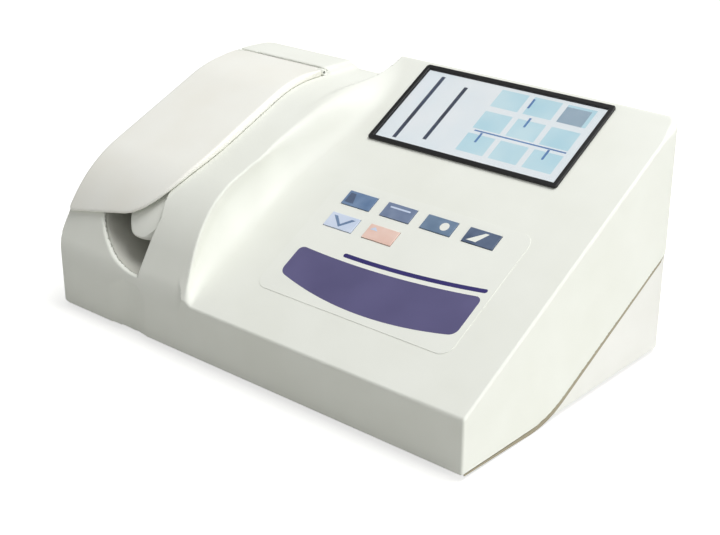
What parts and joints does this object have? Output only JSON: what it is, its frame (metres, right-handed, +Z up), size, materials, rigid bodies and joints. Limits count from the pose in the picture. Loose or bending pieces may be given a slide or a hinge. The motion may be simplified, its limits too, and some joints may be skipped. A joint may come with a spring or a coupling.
{
  "type": "semi-automatic chemistry analyzer",
  "caption": "Bench-top chemistry analyzer: sloping console with framed display and membrane keys, rounded tower with hinged lid, sampling niche and paper slot.",
  "frame": {"origin": "centre of the footprint, on the plane the feet rest on", "axes": "+X to the right of the operator, +Y from the front apron to the back, +Z up"},
  "size_m": [0.396, 0.24, 0.1777],
  "materials": {
    "shell_white": "fine textured moulded off-white ABS",
    "base_white": "fine textured moulded off-white ABS",
    "lid_white": "smooth satin off-white ABS",
    "seam_grey": "tan-grey sealing strip",
    "plate_grey": "powder coated light grey sheet",
    "liner_grey": "moulded light grey ABS",
    "steel": "drawn stainless steel",
    "black_frame": "glossy black moulded frame",
    "display_glass": "flat clear cover glass",
    "display": "liquid crystal display module",
    "overlay": "printed polyester membrane, white with a violet field",
    "key_slate": "slate blue printed key",
    "key_pale": "pale blue printed key",
    "key_peach": "peach printed key",
    "pcb": "green solder mask board with parts",
    "metal_case": "folded sheet metal",
    "black_plastic": "black moulded plastic",
    "motor_grey": "plated steel can",
    "dark_metal": "black anodised aluminium",
    "clear_glass": "optical glass",
    "filter_glass": "interference filter glass",
    "tube_clear": "translucent silicone tube",
    "pump_white": "moulded white acetal",
    "roller_black": "ground black rubber",
    "paper_white": "thermal paper",
    "foot_black": "moulded rubber foot"
  },
  "bodies": {
    "chassis": {"upper_housing": "shell_white", "base_tray": "base_white", "seam_strip": "seam_grey", "rear_panel": "plate_grey", "hinge_pins": "steel", "niche_liner": "liner_grey", "probe_turret": "liner_grey", "aspiration_probe": "steel", "aspirate_switch": "black_plastic", "screen_bezel": "black_frame", "touch_glass": "display_glass", "lcd_module": "display", "keypad_overlay": "overlay", "keypad_board": "pcb", "main_board": "pcb", "power_supply": "metal_case", "mains_inlet": "black_plastic", "switch_frame": "black_plastic", "serial_port": "metal_case", "data_port": "metal_case", "fan_frame": "black_plastic", "optics_bed": "metal_case", "lamp_housing": "dark_metal", "lamp": "clear_glass", "condenser_lens": "clear_glass", "wheel_motor": "motor_grey", "cell_holder": "metal_case", "flow_cell": "clear_glass", "detector_board": "pcb", "pump_motor": "motor_grey", "pump_head": "pump_white", "probe_tube": "tube_clear", "cell_tube": "tube_clear", "waste_tube": "tube_clear", "waste_fitting": "pump_white", "printer_frame": "metal_case", "print_head": "black_plastic", "paper_spindle": "pump_white", "feet": "foot_black", "case_screws": "steel"},
    "lid": {"lid": "lid_white"},
    "aspirate_plate": {"aspirate_plate": "liner_grey"},
    "power_rocker": {"power_rocker": "black_plastic"},
    "fan_rotor": {"fan_rotor": "black_plastic"},
    "filter_wheel": {"filter_wheel": "dark_metal", "filters": "filter_glass"},
    "pump_rotor": {"pump_rotor": "dark_metal", "pump_rollers": "pump_white"},
    "platen_roller": {"platen_roller": "roller_black"},
    "paper_roll": {"paper_roll": "paper_white"},
    "key_1": {"key_1": "key_slate"},
    "key_2": {"key_2": "key_slate"},
    "key_3": {"key_3": "key_slate"},
    "key_4": {"key_4": "key_slate"},
    "key_5": {"key_5": "key_pale"},
    "key_6": {"key_6": "key_peach"}
  },
  "joints": [
    {"name": "lid_hinge", "type": "hinge", "parent": "chassis", "child": "lid", "pos_m": [-0.1485, 0.083, 0.16059], "axis": [-1, 0, 0], "range_deg": [0, 80]},
    {"name": "aspirate_push", "type": "slide", "parent": "chassis", "child": "aspirate_plate", "axis": [0, 1, 0], "range_m": [0, 0.003], "stiffness_N_per_m": 400},
    {"name": "power_rock", "type": "hinge", "parent": "chassis", "child": "power_rocker", "pos_m": [0.114, 0.1129, 0.044], "axis": [-1, 0, 0], "range_deg": [0, 18]},
    {"name": "fan_spin", "type": "hinge", "parent": "chassis", "child": "fan_rotor", "pos_m": [-0.004, 0.1094, 0.044], "axis": [0, 1, 0], "continuous": true},
    {"name": "filter_spin", "type": "hinge", "parent": "chassis", "child": "filter_wheel", "pos_m": [-0.09, 0.032, 0.05], "axis": [0, 1, 0], "continuous": true},
    {"name": "pump_spin", "type": "hinge", "parent": "chassis", "child": "pump_rotor", "pos_m": [-0.15, -0.016, 0.074], "axis": [0, 0, 1], "continuous": true},
    {"name": "platen_spin", "type": "hinge", "parent": "chassis", "child": "platen_roller", "pos_m": [-0.1435, 0.089, 0.14579], "axis": [1, 0, 0], "continuous": true},
    {"name": "paper_spin", "type": "hinge", "parent": "chassis", "child": "paper_roll", "pos_m": [-0.1435, 0.038, 0.11604], "axis": [1, 0, 0], "continuous": true},
    {"name": "key_1_press", "type": "slide", "parent": "chassis", "child": "key_1", "axis": [0, 0.4894, -0.8721], "range_m": [0, 0.0006], "stiffness_N_per_m": 2500},
    {"name": "key_2_press", "type": "slide", "parent": "chassis", "child": "key_2", "axis": [0, 0.4894, -0.8721], "range_m": [0, 0.0006], "stiffness_N_per_m": 2500},
    {"name": "key_3_press", "type": "slide", "parent": "chassis", "child": "key_3", "axis": [0, 0.4894, -0.8721], "range_m": [0, 0.0006], "stiffness_N_per_m": 2500},
    {"name": "key_4_press", "type": "slide", "parent": "chassis", "child": "key_4", "axis": [0, 0.4894, -0.8721], "range_m": [0, 0.0006], "stiffness_N_per_m": 2500},
    {"name": "key_5_press", "type": "slide", "parent": "chassis", "child": "key_5", "axis": [0, 0.4894, -0.8721], "range_m": [0, 0.0006], "stiffness_N_per_m": 2500},
    {"name": "key_6_press", "type": "slide", "parent": "chassis", "child": "key_6", "axis": [0, 0.4894, -0.8721], "range_m": [0, 0.0006], "stiffness_N_per_m": 2500}
  ],
  "couplings": [
    {"joint": "paper_spin", "follows": "platen_spin", "ratio": -0.27273}
  ]
}
